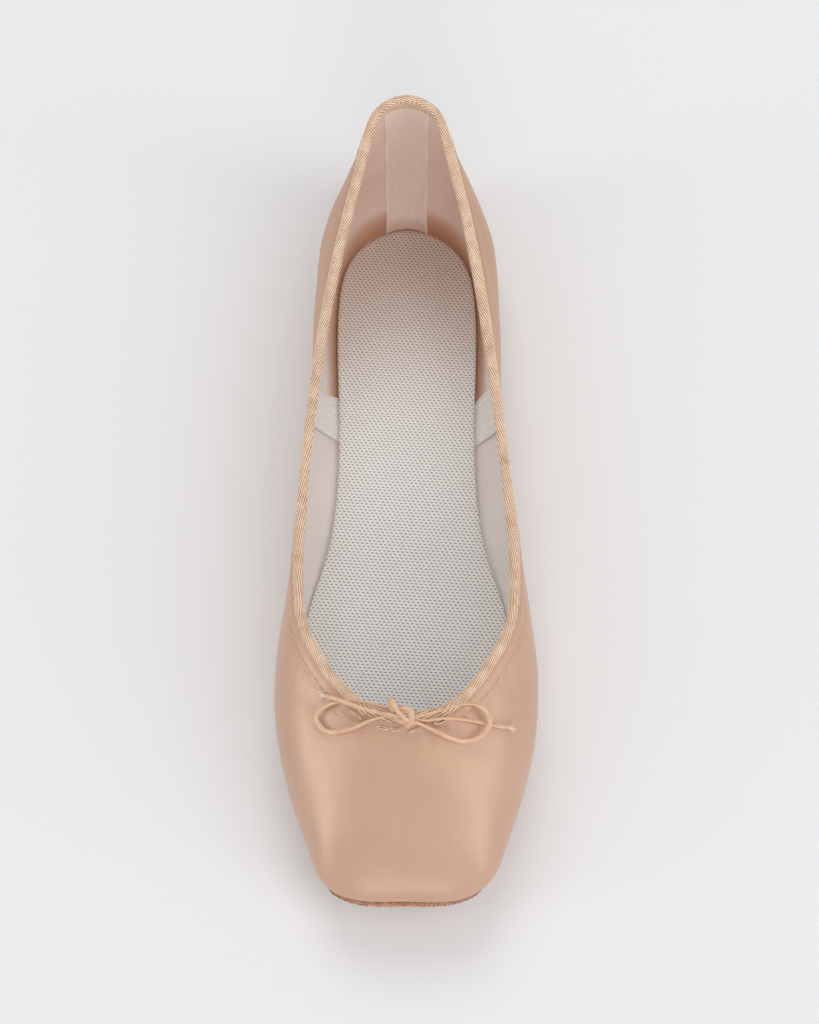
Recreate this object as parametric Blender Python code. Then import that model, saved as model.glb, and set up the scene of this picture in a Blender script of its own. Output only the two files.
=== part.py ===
"""A satin pointe shoe, standing empty on its sole.

The upper is one hollow wall: a loop of ribs runs round the shoe, and each rib climbs from the
edge of the slot under the foot, out along the underside, up round the side and in to the
collar. At the toe the ribs fold over the flat platform and run up the vamp to the throat.
The leather outsole closes the slot from below, the insole lies inside, a tape binds the
collar, a suede patch covers the platform, and the drawstring ends in a small bow.

Metres, +Z up, toe towards -Y, origin on the floor under the middle of the shoe.
"""

import math

import bmesh
import bpy
import numpy as np
from mathutils import Vector
from mathutils.bvhtree import BVHTree

# Driving sizes of the last
LENGTH = 0.2415  # back of the heel to the front of the toe platform
BALL_WIDTH = 0.077  # across the satin at the ball of the foot
HEEL_HEIGHT = 0.062  # floor to the upper's edge at the back seam
TOE_SPRING = 0.006  # how far the sole's line has risen at the platform
ARCH_RISE = 0.0015  # how far the sole is off the floor under the arch

# Walls, plates and clearances
BOX_WALL = 0.0024  # pasted layers of the box round the toes
QUARTER_WALL = 0.0013  # satin and lining at the sides and heel
SOLE_THICKNESS = 0.0022
SOLE_EDGE = 0.0006  # rounding of the outsole's edges
SOLE_SKIVE = 0.0007  # how far its lower edge is cut away
SOLE_LAP = 0.007  # how far the upper's edge is glued in over the outsole
INSOLE_THICKNESS = 0.0028
INSOLE_EDGE = 0.0008  # rounding of the insole's upper edge
INSOLE_SKIVE = 0.0040  # how far its lower edge is cut away, where the upper turns in
GAP = 0.0003  # between pieces that touch on the real shoe

# Collar binding
TAPE_THICKNESS = 0.0006
TAPE_CLEARANCE = 0.00046  # keeps the whole GAP where the satin curves between the tape's rows
TAPE_ROLL = 0.0006  # how far the rolled edge stands above the tape's own thickness
TAPE_OUTSIDE = 0.0062  # how far the binding comes down outside
TAPE_INSIDE = 0.0042  # and inside

# Suede patch on the platform
TIP_THICKNESS = 0.0012
TIP_WIDTH = 0.0416
TIP_HEIGHT = 0.0130
TIP_CENTRE_HEIGHT = 0.0157
TIP_SQUARENESS = 2.6
TIP_RIM = 0.0003  # rounding of the patch's cut edge
TIP_GLUE = 0.0006  # glue under the patch

# Drawstring
CORD_DIAMETER = 0.0013
KNOT_LENGTH = 0.0062  # across the shoe
KNOT_WIDTH = 0.0052
KNOT_HEIGHT = 0.0030

# The sole's line along the shoe, as shares of LENGTH from the platform
BALL_FLAT = (0.25, 0.385)
HEEL_FLAT = (0.745, 1.0)
SPRING_CURVE = 1.7

# Where the stiff box gives way to the soft quarter, as shares of LENGTH from the platform
BOX_END = (0.13, 0.27)

# One row for each rib station on one side, from the toe's centre round to the back seam.
# along: share of LENGTH from the platform; half: share of half of BALL_WIDTH.
# widest, shoulder and top_height: shares of HEEL_HEIGHT; turn: share of half of BALL_WIDTH.
# fold and under: 2 is a round fold above or below the widest line, and more is a boxier one.
# tuck: share of the turn by which the side leans in on its way down, as the platform does.
STATION_COLUMNS = ("along", "half", "widest", "shoulder", "fold", "under", "turn", "tuck", "steps")
STATIONS = (
    (0.000, 0.000, 0.375, 0.510, 2.50, 3.60, 0.300, 0.62, 3),  # toe centre
    (0.001, 0.320, 0.375, 0.510, 2.50, 3.50, 0.300, 0.62, 3),  # platform
    (0.018, 0.570, 0.355, 0.510, 2.45, 3.10, 0.310, 0.56, 3),  # platform corner
    (0.060, 0.712, 0.310, 0.530, 2.40, 2.60, 0.290, 0.33, 3),  # side of the toes
    (0.128, 0.862, 0.290, 0.580, 2.30, 2.30, 0.290, 0.12, 4),  # box
    (0.250, 0.998, 0.290, 0.610, 2.15, 2.20, 0.300, 0.00, 4),  # ball
    (0.345, 0.955, 0.290, 0.570, 2.05, 2.15, 0.250, 0.00, 4),  # joint
    (0.508, 0.815, 0.300, 0.500, 2.00, 2.10, 0.270, 0.00, 4),  # waist
    (0.681, 0.765, 0.310, 0.520, 2.00, 2.05, 0.240, 0.00, 4),  # front of the heel
    (0.831, 0.757, 0.320, 0.520, 2.00, 2.00, 0.230, 0.00, 4),  # side of the heel
    (0.945, 0.580, 0.340, 0.500, 2.00, 2.00, 0.250, 0.00, 3),  # corner of the heel
    (0.987, 0.300, 0.345, 0.560, 2.00, 2.00, 0.240, 0.00, 2),  # beside the back seam
    (1.000, 0.000, 0.350, 0.660, 2.00, 2.00, 0.240, 0.00, 0),  # back seam
)

# The collar's edge at the same stations
COLLAR_COLUMNS = ("top_along", "top_half", "top_height")
COLLAR = (
    (0.192, 0.000, 0.742),
    (0.195, 0.150, 0.740),
    (0.203, 0.300, 0.735),
    (0.229, 0.478, 0.728),
    (0.262, 0.620, 0.715),
    (0.323, 0.780, 0.695),
    (0.394, 0.813, 0.675),
    (0.520, 0.790, 0.662),
    (0.681, 0.688, 0.690),
    (0.831, 0.517, 0.770),
    (0.944, 0.330, 0.940),
    (0.983, 0.222, 0.985),
    (0.997, 0.000, 1.000),
)

# The outsole's outline at the same stations
SOLE_COLUMNS = ("along", "half")
SOLE = (
    (0.085, 0.000),
    (0.087, 0.190),
    (0.097, 0.370),
    (0.121, 0.510),
    (0.172, 0.615),
    (0.255, 0.655),
    (0.355, 0.600),
    (0.514, 0.420),
    (0.683, 0.385),
    (0.832, 0.470),
    (0.923, 0.350),
    (0.952, 0.190),
    (0.962, 0.000),
)

# The insole's outline, from its front end round to its back end
INSOLE = (
    (0.058, 0.000),
    (0.061, 0.200),
    (0.080, 0.400),
    (0.126, 0.590),
    (0.196, 0.720),
    (0.286, 0.790),
    (0.370, 0.790),
    (0.454, 0.645),
    (0.543, 0.567),
    (0.683, 0.565),
    (0.822, 0.580),
    (0.906, 0.440),
    (0.944, 0.000),
)
INSOLE_STEPS = 3

# Routes of the bow, in metres on the plan: across the shoe, behind the throat's point (forward is
# minus) and the cord's centre above the satin. The left of the rows is the wearer's view.
LOOP_LEFT = (
    (-0.0040, -0.0022, 0.0023),
    (-0.0072, -0.0019, 0.0022),
    (-0.0107, -0.0024, 0.0022),
    (-0.0134, -0.0031, 0.0022),
    (-0.0173, -0.0039, 0.0020),
    (-0.0204, -0.0038, 0.0013),
    (-0.0229, -0.0028, 0.0011),
    (-0.0246, -0.0007, 0.0012),
    (-0.0253, 0.0007, 0.0013),
    (-0.0244, 0.0024, 0.0016),
    (-0.0224, 0.0034, 0.0021),
    (-0.0200, 0.0037, 0.0022),
    (-0.0172, 0.0032, 0.0022),
    (-0.0146, 0.0024, 0.0022),
    (-0.0107, 0.0012, 0.0022),
    (-0.0072, 0.0003, 0.0024),
    (-0.0041, -0.0003, 0.0026),
)
LOOP_RIGHT = (
    (0.0041, -0.0008, 0.0030),
    (0.0067, 0.0000, 0.0027),
    (0.0108, 0.0013, 0.0025),
    (0.0139, 0.0026, 0.0023),
    (0.0172, 0.0034, 0.0023),
    (0.0200, 0.0030, 0.0026),
    (0.0221, 0.0016, 0.0030),
    (0.0230, -0.0004, 0.0032),
    (0.0227, -0.0026, 0.0031),
    (0.0210, -0.0046, 0.0024),
    (0.0182, -0.0062, 0.0016),
    (0.0149, -0.0067, 0.0015),
    (0.0119, -0.0061, 0.0019),
    (0.0083, -0.0047, 0.0022),
    (0.0056, -0.0036, 0.0022),
    (0.0040, -0.0029, 0.0023),
)
TAIL_LEFT = (
    (-0.0042, 0.0000, 0.0043),
    (-0.0072, 0.0008, 0.0042),
    (-0.0107, 0.0019, 0.0039),
    (-0.0135, 0.0030, 0.0036),
    (-0.0165, 0.0042, 0.0032),
    (-0.0195, 0.0054, 0.0026),
    (-0.0219, 0.0063, 0.0022),
)
TAIL_RIGHT = (
    (0.0060, -0.0019, 0.0022),
    (0.0091, -0.0011, 0.0022),
    (0.0138, -0.0009, 0.0022),
    (0.0183, -0.0010, 0.0021),
    (0.0214, -0.0012, 0.0012),
    (0.0247, -0.0013, 0.0011),
    (0.0284, -0.0013, 0.0013),
)
CORD_STEPS = 2  # points on the cord between two of its route's points
KNOT_AT = (-0.0003, -0.0008, 0.0031)

# Counts of facets
BOTTOM_STEPS = 1
TURN_STEPS = 4
TOP_STEPS = 8
PLATE_RINGS = (0.0, 0.55)
TAPE_ROWS = (1.0, 0.55, 0.12)  # shares of the binding's depth, from its edge up to the collar


def along_y(share):
    """The place along the shoe of a share of its length, with the suede patch inside the middle."""
    return (share - 0.5) * LENGTH + (TIP_GLUE + TIP_THICKNESS) / 2


def share_of(y):
    return (y - along_y(0.0)) / LENGTH


def sole_rise(y):
    """Height of the outsole's lower face above the floor at y."""
    share = share_of(y)
    if share < BALL_FLAT[0]:
        return TOE_SPRING * min(1.0, (BALL_FLAT[0] - share) / BALL_FLAT[0]) ** SPRING_CURVE
    if BALL_FLAT[1] < share < HEEL_FLAT[0]:
        middle = (share - BALL_FLAT[1]) / (HEEL_FLAT[0] - BALL_FLAT[1])
        return ARCH_RISE * math.sin(math.pi * middle) ** 2
    return 0.0


def sole_top(y):
    return sole_rise(y) + SOLE_THICKNESS


def underside(y):
    """Height of the upper's lower face, glued onto the outsole."""
    return sole_top(y) + GAP


def wall_at(y):
    """Thickness of the upper's wall: the stiff box, then the soft quarter."""
    share = (share_of(y) - BOX_END[0]) / (BOX_END[1] - BOX_END[0])
    share = min(1.0, max(0.0, share))
    blend = share * share * (3 - 2 * share)
    return BOX_WALL + (QUARTER_WALL - BOX_WALL) * blend


def closed_spline(points, steps):
    """A smooth closed curve through the points, with some steps after each of them."""
    points = np.asarray(points, float)
    count = len(points)
    after = np.roll(points, -1, axis=0)
    spans = np.linalg.norm(after[:, :2] - points[:, :2], axis=1)
    slopes = (after - points) / spans[:, None]
    system = np.zeros((count, count))
    for i in range(count):
        system[i, i - 1] += spans[i - 1]
        system[i, i] += 2 * (spans[i - 1] + spans[i])
        system[i, (i + 1) % count] += spans[i]
    bends = np.linalg.solve(system, 6 * (slopes - np.roll(slopes, 1, axis=0)))
    curve = []
    for i in range(count):
        j = (i + 1) % count
        for k in range(steps[i]):
            b = k / steps[i]
            a = 1 - b
            curve.append(
                a * points[i]
                + b * points[j]
                + ((a**3 - a) * bends[i] + (b**3 - b) * bends[j]) * spans[i] ** 2 / 6
            )
    return np.array(curve)


def both_sides(rows, mirrored):
    """Rows of one side, followed by the other side's back to the start."""
    rows = [list(map(float, row)) for row in rows]
    other = []
    for row in rows[-2:0:-1]:
        other.append([-value if i in mirrored else value for i, value in enumerate(row)])
    return rows + other


def round_trip(steps):
    """Steps of one side's spans, followed by the same spans on the way back."""
    return list(steps) + list(reversed(steps))


def station_ribs():
    """Each rib's plan points and sizes, as one row of numbers in metres."""
    half_ball = BALL_WIDTH / 2
    rows = []
    for body, collar, sole in zip(STATIONS, COLLAR, SOLE):
        station = dict(zip(STATION_COLUMNS, body))
        top = dict(zip(COLLAR_COLUMNS, collar))
        edge = dict(zip(SOLE_COLUMNS, sole))
        rows.append(
            (
                station["half"] * half_ball,
                along_y(station["along"]),
                station["widest"] * HEEL_HEIGHT,
                station["shoulder"] * HEEL_HEIGHT,
                station["fold"],
                station["under"],
                station["turn"] * half_ball,
                station["tuck"],
                top["top_half"] * half_ball,
                along_y(top["top_along"]),
                top["top_height"] * HEEL_HEIGHT,
                edge["half"] * half_ball,
                along_y(edge["along"]),
            )
        )
    steps = [row[-1] for row in STATIONS[:-1]]
    return closed_spline(both_sides(rows, mirrored=(0, 8, 11)), round_trip(steps))


def inset(outline, distance):
    """The closed plan curve moved inwards, square to itself."""
    ahead = np.roll(outline, -1, axis=0) - np.roll(outline, 1, axis=0)
    ahead /= np.linalg.norm(ahead, axis=1)[:, None]
    inwards = np.stack([-ahead[:, 1], ahead[:, 0]], axis=1)
    return outline + inwards * distance


def even_steps(curve, steps):
    """The curve at a few steps that share out its length and its bend."""
    lengths = np.linalg.norm(np.diff(curve, axis=0), axis=1)
    run = np.concatenate([[0.0], np.cumsum(lengths)])
    place = 0.5 * run / run[-1] + 0.5 * np.linspace(0, 1, len(curve))
    wanted = np.linspace(0, 1, steps + 1)
    return np.stack([np.interp(wanted, place, curve[:, i]) for i in range(3)], axis=1)


def folded(start, corner, end, square, samples=48):
    """A fold from start to end that leaves towards the corner and arrives from it."""
    power = 2.0 / square
    angle = np.linspace(0, math.pi / 2, samples)[:, None]
    climb = np.sin(angle) ** power
    reach = 1 - np.cos(angle) ** power
    return start + (corner - start) * climb + (end - corner) * reach


def rib_curve(row, slot):
    """One rib on the upper's outer face, from the slot under the foot up to the collar."""
    x, y, widest, shoulder, fold, under, turn, tuck, top_x, top_y, top_z = row[:11]
    side = np.array([x, y, widest])
    inwards = np.array([slot[0] - x, slot[1] - y, 0.0])
    inwards /= np.linalg.norm(inwards)
    foot = side + inwards * turn
    foot[2] = underside(foot[1])
    edge = np.array([slot[0], slot[1], underside(slot[1])])
    below = side + inwards * turn * tuck
    below[2] = foot[2]
    above = np.array([side[0], side[1], shoulder])
    collar = np.array([top_x, top_y, top_z])
    bottom = even_steps(np.linspace(edge, foot, 12), BOTTOM_STEPS)
    for point in bottom:
        point[2] = underside(point[1])
    lower = even_steps(folded(side, below, foot, under), TURN_STEPS)[::-1]
    upper = even_steps(folded(side, above, collar, fold), TOP_STEPS)
    return np.concatenate([bottom[:-1], lower[:-1], upper])


def face_out(sheet):
    """Unit normals of a sheet of ribs that closes round the shoe, pointing out of it."""
    round_shoe = np.roll(sheet, -1, axis=0) - np.roll(sheet, 1, axis=0)
    up_rib = np.gradient(sheet, axis=1)
    normals = np.cross(round_shoe, up_rib)
    return normals / np.linalg.norm(normals, axis=2)[:, :, None]


def upper_faces():
    """The upper's outer and inner faces, as arrays of ribs by points."""
    ribs = station_ribs()
    slot = inset(ribs[:, 11:13], SOLE_LAP)
    outer = np.array([rib_curve(row, edge) for row, edge in zip(ribs, slot)])
    walls = np.vectorize(wall_at)(outer[:, :, 1])
    return outer, outer - face_out(outer) * walls[:, :, None]


def finish_object(name, bm, material):
    """Makes the mesh an object of its own, shaded smooth up to real edges."""
    bmesh.ops.remove_doubles(bm, verts=bm.verts, dist=1e-6)
    bmesh.ops.recalc_face_normals(bm, faces=bm.faces)
    mesh = bpy.data.meshes.new(name)
    bm.to_mesh(mesh)
    bm.free()
    mesh.shade_smooth()
    mesh.set_sharp_from_angle(angle=math.radians(40))
    mesh.materials.append(material)
    made = bpy.data.objects.new(name, mesh)
    bpy.context.scene.collection.objects.link(made)
    return made


def bent_grid(points):
    """A grid of faces whose corners are moved to the points, row by row, and closed round both ways."""
    rows, columns = points.shape[:2]
    bm = bmesh.new()
    made = bmesh.ops.create_grid(bm, x_segments=columns, y_segments=rows, size=1.0)
    for vert in made["verts"]:
        column = round((vert.co.x + 1) / 2 * columns) % columns
        row = round((vert.co.y + 1) / 2 * rows) % rows
        vert.co = points[row, column]
    return bm


def material(name, colour, roughness):
    """A plain finish of the piece's colour."""
    made = bpy.data.materials.new(name)
    made.use_nodes = True
    shader = made.node_tree.nodes["Principled BSDF"]
    shader.inputs["Base Color"].default_value = (*colour, 1.0)
    shader.inputs["Roughness"].default_value = roughness
    made.diffuse_color = (*colour, 1.0)
    return made


def make_upper(outer, inner):
    """The satin upper: outer face, round the collar's edge, inner face and back at the slot."""
    ring = np.concatenate([outer, inner[:, ::-1]], axis=1)
    return finish_object("upper", bent_grid(ring), material("satin", (0.64, 0.42, 0.29), 0.38))


def outline_plate(outline, low, high, rounding, skive):
    """A thin plate with a skived lower edge: rings shrink from its outline onto its middle."""
    front, back = outline[:, 1].min(), outline[:, 1].max()
    nose = np.abs(outline[:, 0]).max()
    spine = np.clip(outline[:, 1], front + nose * 0.8, back - nose * 0.7)
    middle = np.stack([np.zeros(len(outline)), spine], axis=1)
    layers = []

    def layer(plan, height):
        z = np.array([height(y) for y in plan[:, 1]])
        layers.append(np.column_stack([plan, z]))

    upper_rim = inset(outline, rounding)
    lower_rim = inset(outline, skive)
    for share in PLATE_RINGS:
        layer(middle + (upper_rim - middle) * share, high)
    layer(upper_rim, high)
    layer(outline, lambda y: high(y) - rounding)
    layer(lower_rim, low)
    for share in reversed(PLATE_RINGS):
        layer(middle + (lower_rim - middle) * share, low)
    return open_grid(np.stack(layers, axis=1))


def open_grid(points):
    """A grid closed round its rows only, whose first and last columns fold together."""
    rows, columns = points.shape[:2]
    bm = bmesh.new()
    made = bmesh.ops.create_grid(bm, x_segments=columns - 1, y_segments=rows, size=1.0)
    for vert in made["verts"]:
        column = round((vert.co.x + 1) / 2 * (columns - 1))
        row = round((vert.co.y + 1) / 2 * rows) % rows
        vert.co = points[row, column]
    return bm


def make_outsole():
    """Leather outsole, skived at its lower edge."""
    outline = station_ribs()[:, 11:13]
    bm = outline_plate(outline, sole_rise, sole_top, SOLE_EDGE, SOLE_SKIVE)
    return finish_object("outsole", bm, material("sole_leather", (0.47, 0.30, 0.19), 0.6))


def insole_low(y):
    return underside(y) + wall_at(y) + GAP


def insole_high(y):
    return insole_low(y) + INSOLE_THICKNESS


def make_insole():
    """Loose cushioned insole, cut to its own outline."""
    rows = [(half * BALL_WIDTH / 2, along_y(along)) for along, half in INSOLE]
    steps = round_trip([INSOLE_STEPS] * (len(INSOLE) - 1))
    outline = closed_spline(both_sides(rows, mirrored=(0,)), steps)
    bm = outline_plate(outline, insole_low, insole_high, INSOLE_EDGE, INSOLE_SKIVE)
    return finish_object("insole", bm, material("insole_mesh", (0.72, 0.68, 0.64), 0.8))


def down_from_collar(rib, normals, distance, stand):
    """A point this far below the collar along a rib's face, and standing off from the face."""
    back = rib[::-1]
    run = np.concatenate([[0.0], np.cumsum(np.linalg.norm(np.diff(back, axis=0), axis=1))])
    point = np.array([np.interp(distance, run, back[:, i]) for i in range(3)])
    normal = np.array([np.interp(distance, run, normals[::-1, i]) for i in range(3)])
    return point + normal / np.linalg.norm(normal) * stand


def make_binding(outer, inner):
    """Tape folded over the collar's edge: down the outside, rolled over the top, down the inside."""
    skin = TAPE_CLEARANCE + TAPE_THICKNESS
    sections = []
    for rib, lining, normals in zip(outer, inner, face_out(outer)):
        out = normals[-1]
        up = rib[-1] - rib[-2]
        up /= np.linalg.norm(up)

        def outside(stand):
            return [down_from_collar(rib, normals, TAPE_OUTSIDE * s, stand) for s in TAPE_ROWS]

        def inside(stand):
            return [down_from_collar(lining, normals, TAPE_INSIDE * s, -stand) for s in TAPE_ROWS]

        crown = (rib[-1] + lining[-1]) / 2
        across = (rib[-1] - lining[-1]) / 2 + out * skin
        roll = []
        for angle in (30, 70, 110, 150):
            lean, rise = math.cos(math.radians(angle)), math.sin(math.radians(angle))
            roll.append(crown + across * lean + up * (skin + TAPE_ROLL) * rise)
        rim = TAPE_CLEARANCE * 1.2
        under_roll = [lining[-1] - out * rim + up * rim, rib[-1] + out * rim + up * rim]
        seen = outside(skin) + roll + inside(skin)[::-1]
        sections.append(seen + inside(TAPE_CLEARANCE) + under_roll + outside(TAPE_CLEARANCE)[::-1])
    bm = bent_grid(np.array(sections))
    return finish_object("collar_binding", bm, material("binding_tape", (0.68, 0.46, 0.31), 0.5))


def surface_finder(made):
    """Finds the piece's face along a straight line, for what sits on it."""
    return BVHTree.FromPolygons(
        [vert.co.copy() for vert in made.data.vertices],
        [tuple(face.vertices) for face in made.data.polygons],
    )


def make_platform_tip(upper):
    """Suede patch glued over the flat front of the toe."""
    finder = surface_finder(upper)
    around, rings = 32, (0.0, 0.4, 0.75, 1.0)
    start = along_y(0.0) - LENGTH / 4

    def place(ring, angle, stand):
        lean, rise = math.cos(angle), math.sin(angle)
        power = 2.0 / TIP_SQUARENESS
        x = math.copysign(abs(lean) ** power, lean) * TIP_WIDTH / 2 * ring
        z = TIP_CENTRE_HEIGHT + math.copysign(abs(rise) ** power, rise) * TIP_HEIGHT / 2 * ring
        hit, normal = finder.ray_cast(Vector((x, start, z)), Vector((0, 1, 0)))[:2]
        if normal.y > 0:
            normal = -normal
        return hit + normal * stand

    rim = 1 - TIP_RIM / (TIP_HEIGHT / 2)
    rows = []
    for i in range(around):
        angle = 2 * math.pi * i / around
        row = [place(ring, angle, TIP_GLUE) for ring in rings]
        row.append(place(1.0, angle, TIP_GLUE + TIP_THICKNESS - TIP_RIM))
        row += [place(ring * rim, angle, TIP_GLUE + TIP_THICKNESS) for ring in reversed(rings)]
        rows.append(row)
    return finish_object(
        "platform_tip", open_grid(np.array(rows)), material("suede", (0.45, 0.25, 0.17), 0.9)
    )


def on_vamp(finder, across, back, lift):
    """A point above the satin near the throat: across the shoe, behind the throat's point."""
    y = along_y(COLLAR[0][0]) + back
    start = Vector((across, y, HEEL_HEIGHT * 2))
    hit, normal = finder.ray_cast(start, Vector((0, 0, -1)))[:2]
    return hit + Vector((0, 0, 1)) * (lift / max(0.5, abs(normal.z)))


def make_cord(name, route, finder, finish):
    """A stretch of the drawstring: a smooth tube through its route above the satin."""
    points = np.array([on_vamp(finder, *row) for row in route])
    curve = bpy.data.curves.new(name, "CURVE")
    curve.dimensions = "3D"
    curve.bevel_depth = CORD_DIAMETER / 2
    curve.bevel_resolution = 2
    curve.use_fill_caps = True
    smooth = open_spline(points, CORD_STEPS)
    spline = curve.splines.new("POLY")
    spline.points.add(len(smooth) - 1)
    for point, place in zip(spline.points, smooth):
        point.co = (*place, 1.0)
    curve.materials.append(finish)
    made = bpy.data.objects.new(name, curve)
    bpy.context.scene.collection.objects.link(made)
    return made


def open_spline(points, steps):
    """A smooth curve through the points, whose ends run straight on."""
    before = 2 * points[0] - points[1]
    after = 2 * points[-1] - points[-2]
    padded = np.vstack([before, points, after])
    curve = []
    for i in range(1, len(padded) - 2):
        p0, p1, p2, p3 = padded[i - 1 : i + 3]
        for k in range(steps):
            t = k / steps
            curve.append(
                p1
                + 0.5 * t * (p2 - p0)
                + t * t * (p0 - 2.5 * p1 + 2 * p2 - 0.5 * p3)
                + t**3 * (1.5 * (p1 - p2) + 0.5 * (p3 - p0))
            )
    return np.array(curve + [points[-1]])


def make_knot(finder, finish):
    """The tied knot of the bow, over the holes that the drawstring leaves by."""
    bm = bmesh.new()
    bmesh.ops.create_icosphere(bm, subdivisions=2, radius=0.5)
    bmesh.ops.scale(bm, vec=(KNOT_LENGTH, KNOT_WIDTH, KNOT_HEIGHT), verts=bm.verts)
    bmesh.ops.translate(bm, vec=on_vamp(finder, *KNOT_AT), verts=bm.verts)
    return finish_object("bow_knot", bm, finish)


def make_bow(upper):
    """The drawstring's knot, its two loops and its two ends."""
    finder = surface_finder(upper)
    finish = material("drawstring", (0.72, 0.49, 0.33), 0.5)
    make_knot(finder, finish)
    make_cord("bow_loop_left", LOOP_LEFT, finder, finish)
    make_cord("bow_loop_right", LOOP_RIGHT, finder, finish)
    make_cord("bow_tail_left", TAIL_LEFT, finder, finish)
    make_cord("bow_tail_right", TAIL_RIGHT, finder, finish)


def main():
    for old in list(bpy.data.objects):
        bpy.data.objects.remove(old)
    outer, inner = upper_faces()
    upper = make_upper(outer, inner)
    make_outsole()
    make_insole()
    make_binding(outer, inner)
    make_platform_tip(upper)
    make_bow(upper)


main()
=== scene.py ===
"""A satin pointe shoe, seen from above its toe."""

import math

import bmesh
import bpy
import numpy as np
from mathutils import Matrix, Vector
from mathutils.bvhtree import BVHTree


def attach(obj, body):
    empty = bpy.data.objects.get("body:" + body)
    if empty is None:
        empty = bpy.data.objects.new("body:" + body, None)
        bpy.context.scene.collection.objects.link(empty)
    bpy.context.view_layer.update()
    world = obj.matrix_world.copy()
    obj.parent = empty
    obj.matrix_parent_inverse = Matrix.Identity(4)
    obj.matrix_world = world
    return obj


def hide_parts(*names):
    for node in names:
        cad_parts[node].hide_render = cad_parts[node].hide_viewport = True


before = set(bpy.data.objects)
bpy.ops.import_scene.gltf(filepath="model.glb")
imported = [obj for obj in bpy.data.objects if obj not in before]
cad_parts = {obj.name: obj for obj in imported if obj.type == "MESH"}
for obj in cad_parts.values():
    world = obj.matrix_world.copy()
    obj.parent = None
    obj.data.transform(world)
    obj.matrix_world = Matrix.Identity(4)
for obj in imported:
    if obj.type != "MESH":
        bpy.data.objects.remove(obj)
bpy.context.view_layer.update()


# Camera and light: the shoe is seen from above its toe, looking down steeply at it.
# A soft box hangs over the heel, so that the shade falls in front of the toe, and a long strip
# box on each side lays a bright band along the satin: a part of each of those lights gloss alone.
camera_data = bpy.data.cameras.new("camera")
camera_data.sensor_fit = "VERTICAL"
camera_data.sensor_height = 36.0
camera_data.lens = 66.8
camera = bpy.data.objects.new("camera", camera_data)
camera.location = (0.00083, -0.23499, 0.54656)
camera.rotation_euler = (math.radians(24), 0, 0)
bpy.context.scene.collection.objects.link(camera)
bpy.context.scene.camera = camera

for name, place, size, watts, lights_all in (
    ("soft_box_over_heel", (-0.25, 1.80, 2.70), (1.7, 1.7), 24.0, True),
    ("strip_box_left", (-2.70, -0.62, 1.05), (0.8, 4.2), 18.0, True),
    ("strip_box_left_gleam", (-2.70, -0.62, 1.05), (0.8, 4.2), 54.0, False),
    ("strip_box_right", (2.05, -0.90, 1.90), (1.3, 4.2), 32.0, True),
    ("strip_box_right_gleam", (2.05, -0.90, 1.90), (1.1, 4.2), 46.0, False),
    ("fill_over_toe", (0.10, -2.90, 1.35), (1.8, 1.0), 21.0, True),
):
    lamp_data = bpy.data.lights.new(name, "AREA")
    lamp_data.shape = "RECTANGLE"
    lamp_data.size, lamp_data.size_y = size
    lamp_data.energy = watts
    lamp = bpy.data.objects.new(name, lamp_data)
    lamp.location = place
    lamp.visible_diffuse = lights_all
    lamp.rotation_euler = (-Vector(place)).to_track_quat("-Z", "Y").to_euler()
    bpy.context.scene.collection.objects.link(lamp)

world = bpy.data.worlds.new("studio")
world.use_nodes = True
sky = world.node_tree.nodes["Background"]
sky.inputs["Color"].default_value = (1.0, 1.0, 1.0, 1.0)
sky.inputs["Strength"].default_value = 0.47
bpy.context.scene.world = world
bpy.context.scene.view_settings.view_transform = "Standard"


# Floor: a plain pale flat sheet of painted board, which stands for the studio and isn't part of
# the shoe. It is matt, so that it only takes the shoe's soft shade.
def hex_colour(code):
    """Linear RGBA of an sRGB hex colour."""
    parts = [int(code[i : i + 2], 16) / 255 for i in (1, 3, 5)]
    return (*[p / 12.92 if p <= 0.04045 else ((p + 0.055) / 1.055) ** 2.4 for p in parts], 1.0)


def add(tree, kind, feeds=None, **settings):
    """Adds a node with its settings; feeds names its inputs' values or the outputs that feed them."""
    made = tree.nodes.new(kind)
    for name, value in settings.items():
        setattr(made, name, value)
    for key, value in (feeds or {}).items():
        if isinstance(value, bpy.types.NodeSocket):
            tree.links.new(value, made.inputs[key])
        else:
            made.inputs[key].default_value = value
    return made


def new_finish(name, colour, roughness):
    """A material of its own, with its node tree and its shader."""
    made = bpy.data.materials.new(name)
    made.use_nodes = True
    shader = made.node_tree.nodes["Principled BSDF"]
    shader.inputs["Base Color"].default_value = hex_colour(colour)
    shader.inputs["Roughness"].default_value = roughness
    return made, made.node_tree, shader


def uv_place(tree):
    """The place on a piece's own UV map, in metres."""
    return add(tree, "ShaderNodeUVMap", uv_map="UVMap").outputs[0]


def solid_place(tree):
    """The place in the shoe's frame, in metres."""
    return add(tree, "ShaderNodeTexCoord").outputs["Object"]


def axes(tree, place):
    """The X, Y and Z of a place."""
    return add(tree, "ShaderNodeSeparateXYZ", {0: place}).outputs


def stretched(tree, place, scale, rotation=(0, 0, 0)):
    """A place, stretched and turned."""
    feeds = {"Vector": place, "Rotation": rotation, "Scale": scale}
    return add(tree, "ShaderNodeMapping", feeds).outputs[0]


def noise(tree, place, scale, detail):
    """Soft noise over a place."""
    feeds = {"Vector": place, "Scale": scale, "Detail": detail}
    return add(tree, "ShaderNodeTexNoise", feeds).outputs[0]


def maths(tree, operation, *values):
    """What an operation makes of its values."""
    return add(tree, "ShaderNodeMath", dict(enumerate(values)), operation=operation).outputs[0]


def rising(tree, value, low, high, top=1.0, way="SMOOTHSTEP"):
    """Goes from 0 where the value is low to top where it is high."""
    feeds = {"Value": value, "From Min": low, "From Max": high, "To Max": top}
    return add(tree, "ShaderNodeMapRange", feeds, interpolation_type=way).outputs[0]


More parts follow.
